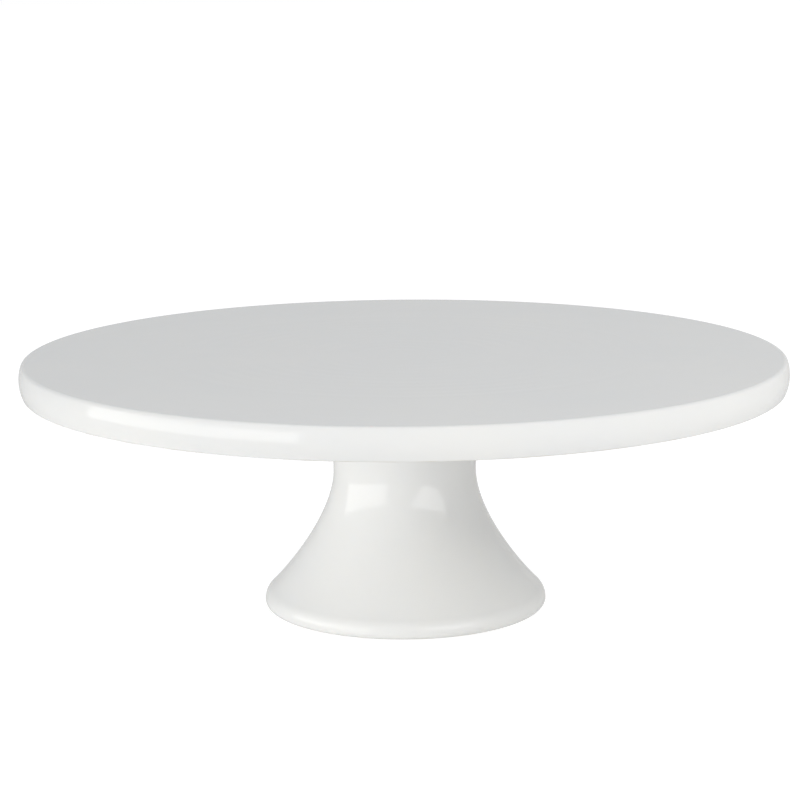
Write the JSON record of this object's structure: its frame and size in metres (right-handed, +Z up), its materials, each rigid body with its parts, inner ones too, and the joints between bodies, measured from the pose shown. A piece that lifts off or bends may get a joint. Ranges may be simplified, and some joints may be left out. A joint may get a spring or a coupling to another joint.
{
  "type": "cake stand",
  "caption": "White porcelain cake stand: flat round plate with a turned-down rim on a flared hollow pedestal, held by a hand screw.",
  "frame": {"origin": "centre of the foot, on the surface that the stand rests on", "axes": "+Z up along the stand's axis of symmetry"},
  "size_m": [0.3, 0.3, 0.101],
  "materials": {
    "porcelain": "gloss",
    "insert_brass": "satin",
    "setting_cement": "matte",
    "silicone": "satin",
    "washer_rubber": "matte",
    "zinc_plated_steel": "satin",
    "knob_plastic": "matte"
  },
  "bodies": {
    "stand": {"cake_plate": "porcelain", "pedestal": "porcelain", "threaded_insert": "insert_brass", "insert_cement": "setting_cement", "joint_gasket": "silicone"},
    "washers": {"rubber_washer": "washer_rubber", "steel_washer": "zinc_plated_steel"},
    "hand_screw": {"clamp_screw": "zinc_plated_steel", "screw_knob": "knob_plastic"}
  },
  "joints": [
    {"name": "screw_travel", "type": "slide", "parent": "stand", "child": "washers", "axis": [0, 0, -1], "range_m": [0, 0.00875]},
    {"name": "screw_turn", "type": "hinge", "parent": "washers", "child": "hand_screw", "pos_m": [0, 0, 0.0764], "axis": [0, 0, -1], "range_deg": [0, 2520]}
  ],
  "couplings": [
    {"joint": "screw_turn", "follows": "screw_travel", "rad_per_m": 5026.5}
  ]
}
